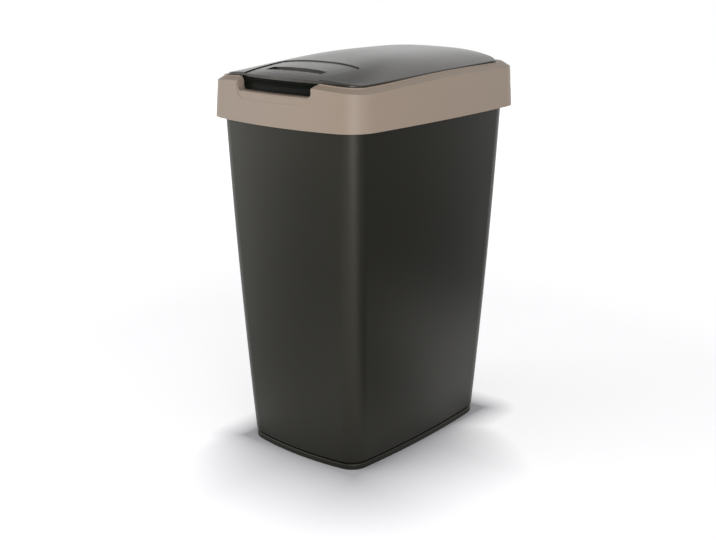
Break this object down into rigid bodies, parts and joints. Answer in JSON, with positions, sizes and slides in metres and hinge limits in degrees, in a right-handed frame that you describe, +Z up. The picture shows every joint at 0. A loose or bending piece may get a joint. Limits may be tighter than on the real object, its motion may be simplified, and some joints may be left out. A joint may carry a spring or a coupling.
{
  "type": "push top countertop bin",
  "caption": "Tapered rounded-rectangular waste bin with a lift-off collar and a hinged, sprung lid that a push bar in the front notch releases.",
  "frame": {"origin": "middle of the footprint on the surface the bin stands on", "axes": "+Z up, the front with the finger notch faces -Y, the hinge is at +Y, X across"},
  "size_m": [0.1938, 0.275, 0.386],
  "materials": {
    "body_plastic": "satin dark grey-green polypropylene",
    "collar_plastic": "satin taupe polypropylene",
    "lid_plastic": "satin mid grey with a soft sheen",
    "liner_plastic": "matt grey polypropylene",
    "bar_plastic": "gloss near-black",
    "guide_plastic": "matt near-black",
    "pin_steel": "drawn steel rod",
    "spring_steel": "spring wire",
    "screw_steel": "zinc-plated steel"
  },
  "bodies": {
    "base": {"container": "body_plastic"},
    "top_ring": {"collar": "collar_plastic", "catch_guide": "guide_plastic", "guide_screws": "screw_steel", "hinge_pin_left": "pin_steel", "hinge_pin_right": "pin_steel", "hinge_spring_left": "spring_steel", "hinge_spring_right": "spring_steel"},
    "lid": {"lid_shell": "lid_plastic", "lid_liner": "liner_plastic", "liner_screws": "screw_steel"},
    "bar": {"push_bar": "bar_plastic", "bar_spring_left": "spring_steel", "bar_spring_right": "spring_steel"}
  },
  "joints": [
    {"name": "collar_lift", "type": "slide", "parent": "base", "child": "top_ring", "axis": [0, 0, 1], "range_m": [0, 0.06]},
    {"name": "lid_hinge", "type": "hinge", "parent": "top_ring", "child": "lid", "pos_m": [0, 0.1155, 0.37], "axis": [-1, 0, 0], "range_deg": [0, 88]},
    {"name": "push_bar_slide", "type": "slide", "parent": "top_ring", "child": "bar", "axis": [0, -1, 0], "range_m": [0, 0.003], "stiffness_N_per_m": 250, "springref_m": 0.008}
  ]
}
